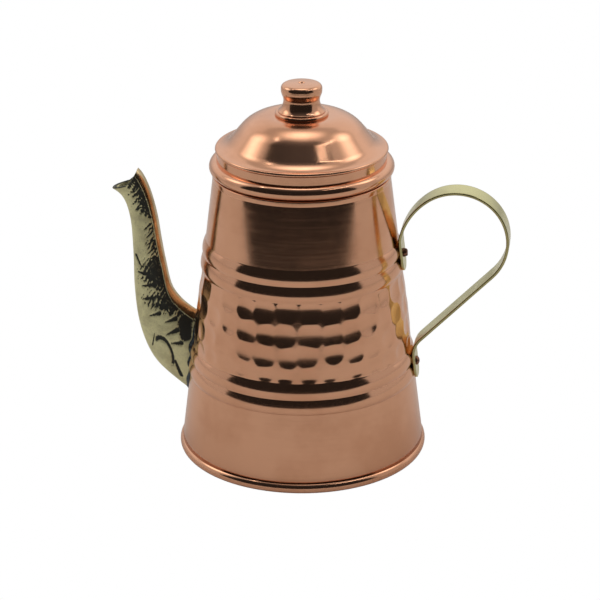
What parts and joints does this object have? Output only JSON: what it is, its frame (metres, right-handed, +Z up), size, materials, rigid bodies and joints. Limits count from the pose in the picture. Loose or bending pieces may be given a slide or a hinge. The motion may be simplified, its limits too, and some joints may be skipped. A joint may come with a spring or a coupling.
{
  "type": "coffee pot",
  "caption": "Conical hammered copper coffee pot with a brass goose-neck spout, a strap handle and a domed lid that lifts off.",
  "frame": {"origin": "centre of the foot's flat underside, on the pot's axis", "axes": "+Z up along the pot's axis, +X towards the handle, -X towards the spout"},
  "size_m": [0.2062, 0.13, 0.1983],
  "materials": {
    "copper": "polished",
    "spout_brass": "antiqued cast",
    "strap_brass": "polished",
    "aged_copper": "aged satin",
    "solder": "dark satin",
    "tin": "satin",
    "steel_wire": "satin"
  },
  "bodies": {
    "pot": {"body_shell": "copper", "base_plate": "copper", "foot_wire": "steel_wire", "base_solder": "tin", "spout": "spout_brass", "spout_solder": "solder", "handle_strap": "strap_brass", "upper_rivet": "aged_copper", "lower_rivet": "aged_copper", "rivet_roves": "tin"},
    "lid": {"lid_dome": "copper", "lid_band": "copper", "lid_collar": "copper", "knob_base": "copper", "knob": "copper", "knob_pin": "copper", "knob_washer": "tin"}
  },
  "joints": [
    {"name": "lid_lift", "type": "slide", "parent": "pot", "child": "lid", "axis": [0, 0, 1], "range_m": [0, 0.1]}
  ]
}
